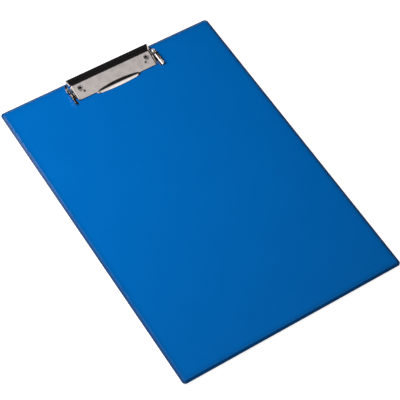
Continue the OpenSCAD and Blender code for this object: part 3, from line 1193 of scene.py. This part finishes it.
# %% [markdown]
# ### The pin
#
# The hinge pin is a rod whose ends are hammered into low domes outside the ears. One wire, spun
# round the axis and laid along the clip, gives the rod and both heads.

# %% Hinge pin
PIN_R = 0.8
HEAD_R = 1.6
HEAD_H = 0.7
HEAD_BEVEL = 0.08


def make_pin():
    dome = (HEAD_R ** 2 + HEAD_H ** 2) / (2 * HEAD_H)
    spread = math.degrees(math.asin(HEAD_R / dome))
    head = arc((0, BASE_HALF + HEAD_H - dome), dome, 90, 90 - spread, 10)
    right = [*head, (HEAD_R - HEAD_BEVEL, BASE_HALF), (PIN_R, BASE_HALF)]
    left = [(r, -z) for r, z in reversed(right)]
    bm = spun(right + left, steps=40)
    bmesh.ops.rotate(bm, cent=(0, 0, 0), matrix=Matrix.Rotation(math.pi / 2, 3, "Y"),
                     verts=bm.verts)
    bmesh.ops.translate(bm, vec=(0, 0, RISE), verts=bm.verts)
    return finish_piece("pin", seat(bm), "steel", "hinge_pin")


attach(make_pin(), "board")

# %% [markdown]
# ### The springs
#
# Two torsion springs sit on the pin. The end of the wire nearer the clip's middle presses up
# under the lever, and the other end rests on the base. A circle of wire is spun round the pin
# and moved along it a little at each step, and each end is then drawn out straight along its
# own direction. In the real clip the coil winds up when the lever opens: its inner end turns
# with the lever and its outer end stays. Here each spring rides with the lever as a whole.

# %% Springs
WIRE_R = 0.4
COIL_R = 1.3
COIL_STEPS = 20
WIRE_SEGMENTS = 10
UPPER_TIP = (3.72, 2.14)
LOWER_TIP = (2.9, 1.25)


def tangent_angle(tip, side):
    """Where a line from the tip touches the coil's middle circle, as an angle."""
    away = Vector(tip) - Vector((0, RISE))
    return math.atan2(away.y, away.x) + side * math.acos(COIL_R / away.length)


def on_coil(angle, x):
    return Vector((x, COIL_R * math.cos(angle), RISE + COIL_R * math.sin(angle)))


def draw_out(bm, ring, to):
    """Draws an end ring out to a point and closes it."""
    drawn = bmesh.ops.extrude_edge_only(bm, edges=ring)
    verts = new_verts(drawn)
    middle = sum((v.co for v in verts), Vector()) / len(verts)
    bmesh.ops.translate(bm, vec=to - middle, verts=verts)
    bmesh.ops.contextual_create(bm, geom=verts)


def make_spring(name, node, side):
    start = tangent_angle(UPPER_TIP, 1)
    end = tangent_angle(LOWER_TIP, -1)
    turns = round(COIL_LENGTH / (2 * WIRE_R)) - 1
    turn = end - start + 2 * math.pi * turns
    near, far = side * (SPRING_IN + WIRE_R), side * (SPRING_IN + COIL_LENGTH - WIRE_R)
    steps = round(COIL_STEPS * turn / (2 * math.pi))
    bm = bmesh.new()
    circle = bmesh.ops.create_circle(bm, segments=WIRE_SEGMENTS, radius=WIRE_R)["verts"]
    first = bm.edges[:]
    place = Matrix.Translation(on_coil(start, near)) @ Matrix.Rotation(start, 4, "X")
    bmesh.ops.transform(bm, matrix=place, verts=circle)
    coil = bmesh.ops.spin(bm, geom=circle + first, cent=(0, 0, RISE), axis=(1, 0, 0), angle=turn,
                          dvec=((far - near) / steps, 0, 0), steps=steps)
    last = [item for item in coil["geom_last"] if isinstance(item, bmesh.types.BMEdge)]
    draw_out(bm, first, Vector((near, *UPPER_TIP)))
    draw_out(bm, last, Vector((far, *LOWER_TIP)))
    made = finish_piece(name, seat(bm), "spring_steel", node)
    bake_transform(made)
    return made


for name, node, side in (("left_spring", "spring_left", -1), ("right_spring", "spring_right", 1)):
    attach(make_spring(name, node, side), "lever")

# %% [markdown]
# ### The rivets
#
# A hollow rivet comes up from each dish in the back and is rolled outwards over the base, below
# the holes in the lever. One spun wire holds the head, the shank, the collar and the bore.

# %% Rivets
SHANK_R = 1.8
RIVET_BORE_R = 1.2
BORE_BEVEL = 0.15
MOUTH_R = 0.45
COLLAR_R = 2.6
COLLAR_H = 0.6
FLAT_R = 0.25
INNER_R = 0.1


def make_rivet(name, node, side):
    low, high = rivet_low.z, DISH_H
    head_r = (rivet_high.x - rivet_low.x) / 2
    curl = COLLAR_H / 2
    floor = BOARD_T + BASE_T
    section = [(0, MID_Z), (RIVET_BORE_R - BORE_BEVEL, MID_Z), (RIVET_BORE_R, MID_Z + BORE_BEVEL),
               *arc((RIVET_BORE_R + MOUTH_R, floor + COLLAR_H - MOUTH_R), MOUTH_R, 180, 90, 6),
               *arc((COLLAR_R - curl, floor + curl), curl, 90, -90, 10),
               (SHANK_R, floor), (SHANK_R, high),
               *arc((head_r - INNER_R, high - INNER_R), INNER_R, 90, 0, 3),
               *arc((head_r - FLAT_R, low + FLAT_R), FLAT_R, 0, -90, 5), (0, low)]
    bm = spun(section)
    bmesh.ops.translate(bm, vec=(side * RIVET_X, RIVET_Y, 0), verts=bm.verts)
    return finish_piece(name, bm, "rivet_steel", node)


for name, node, side in (("left_rivet", "rivet_left", -1), ("right_rivet", "rivet_right", 1)):
    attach(make_rivet(name, node, side), "board")

# %% [markdown]
# ## The last lines
#
# The card inside the films is the one CAD node that stays as it is. Every node gets the finish of
# its own material slot, so that none is left plain.

# %% Finishes of the CAD nodes
SLOTS = {part["node"]: part["material_slot"] for part in frame["record"]["subparts"]}
for name, node in frame["nodes"].items():
    node.data.materials.clear()
    node.data.materials.append(FINISHES[SLOTS[name]])
print("CAD nodes with a finish:", len(frame["nodes"]))
